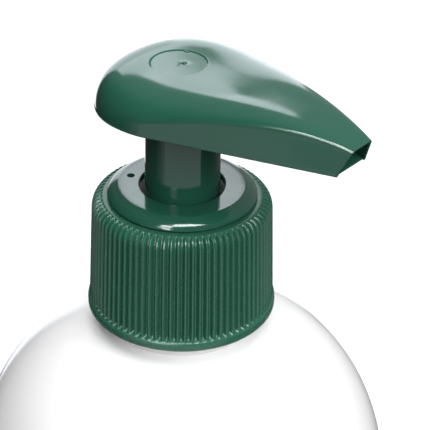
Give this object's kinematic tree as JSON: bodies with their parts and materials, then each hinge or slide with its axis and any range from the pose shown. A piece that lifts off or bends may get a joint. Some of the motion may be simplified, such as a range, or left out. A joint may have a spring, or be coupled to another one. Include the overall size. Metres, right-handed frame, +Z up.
{
  "type": "soap pump dispenser",
  "caption": "Round bottle with a ribbed screw closure and a press-down lotion pump that has a swivelling drooping spout.",
  "frame": {"origin": "centre of the bottle's foot, on the plane it stands on", "axes": "+Z up along the bottle's axis, +X towards the spout at rest"},
  "size_m": [0.074, 0.074, 0.1871],
  "materials": {
    "bottle": "white glossy blow-moulded polyethylene",
    "closure": "dark green moulded polypropylene, fine vertical grip ribs",
    "collar": "dark green polished polypropylene",
    "head": "dark green polished polypropylene with faint moulding marks",
    "pump_body": "natural milky polypropylene",
    "seal": "soft low-density polyethylene",
    "gasket": "white foamed polyethylene liner",
    "ball": "polished stainless steel ball",
    "spring": "drawn stainless steel wire",
    "tube": "milky extruded polyethylene tube"
  },
  "bodies": {
    "bottle": {"bottle": "bottle"},
    "pump_body": {"housing": "pump_body", "stem_guide": "pump_body", "collar": "collar", "neck_gasket": "gasket", "ball_cage": "pump_body", "dip_tube": "tube", "spring": "spring"},
    "closure": {"closure": "closure"},
    "plunger": {"piston_seal": "seal"},
    "head": {"head_shell": "head", "head_base": "head", "stem": "pump_body", "stem_tip": "pump_body"},
    "outlet_ball": {"outlet_ball": "ball"},
    "inlet_ball": {"inlet_ball": "ball"}
  },
  "joints": [
    {"name": "closure_turn", "type": "hinge", "parent": "pump_body", "child": "closure", "pos_m": [0, 0, 0.15], "axis": [0, 0, 1], "range_deg": [0, 540]},
    {"name": "pump_lift", "type": "slide", "parent": "bottle", "child": "pump_body", "axis": [0, 0, 1], "range_m": [0, 0.00634]},
    {"name": "head_press", "type": "slide", "parent": "pump_body", "child": "plunger", "axis": [0, 0, -1], "range_m": [0, 0.014], "stiffness_N_per_m": 500, "springref_m": -0.012, "deforming": ["spring"]},
    {"name": "head_turn", "type": "hinge", "parent": "plunger", "child": "head", "pos_m": [0, 0, 0.15], "axis": [0, 0, 1], "continuous": true},
    {"name": "outlet_ball_lift", "type": "slide", "parent": "head", "child": "outlet_ball", "axis": [0, 0, 1], "range_m": [0, 0.001]},
    {"name": "inlet_ball_lift", "type": "slide", "parent": "pump_body", "child": "inlet_ball", "axis": [0, 0, 1], "range_m": [0, 0.0015]}
  ],
  "couplings": [
    {"joint": "closure_turn", "follows": "pump_lift", "rad_per_m": 1485.3}
  ]
}
